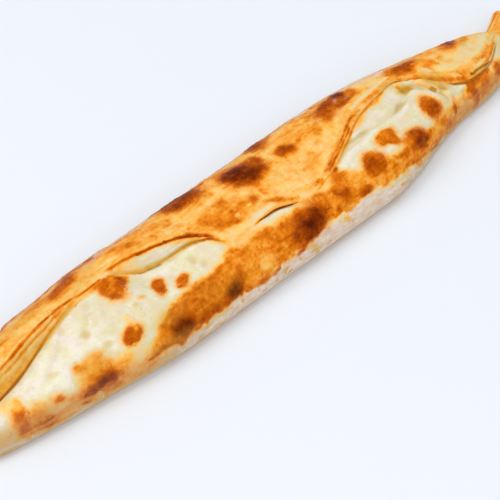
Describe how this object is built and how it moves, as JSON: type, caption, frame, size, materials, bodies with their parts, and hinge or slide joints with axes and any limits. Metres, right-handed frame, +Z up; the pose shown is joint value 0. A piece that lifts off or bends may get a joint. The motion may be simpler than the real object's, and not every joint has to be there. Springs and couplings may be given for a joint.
{
  "type": "closed turkish pide",
  "caption": "Long closed pide: a folded dough loaf with a wandering flap edge, open pale pockets, browned blisters, a flat base and two pinched ends.",
  "frame": {"origin": "centre of the bounding box's footprint, at the flat base", "axes": "+X along the loaf towards the end with the twisted tip, +Y across it towards the flap's side, +Z up"},
  "size_m": [0.52, 0.0884, 0.0355],
  "materials": {
    "crust": "satin, baked and lightly buttered"
  },
  "bodies": {
    "root": {"pide": "crust"}
  },
  "joints": []
}
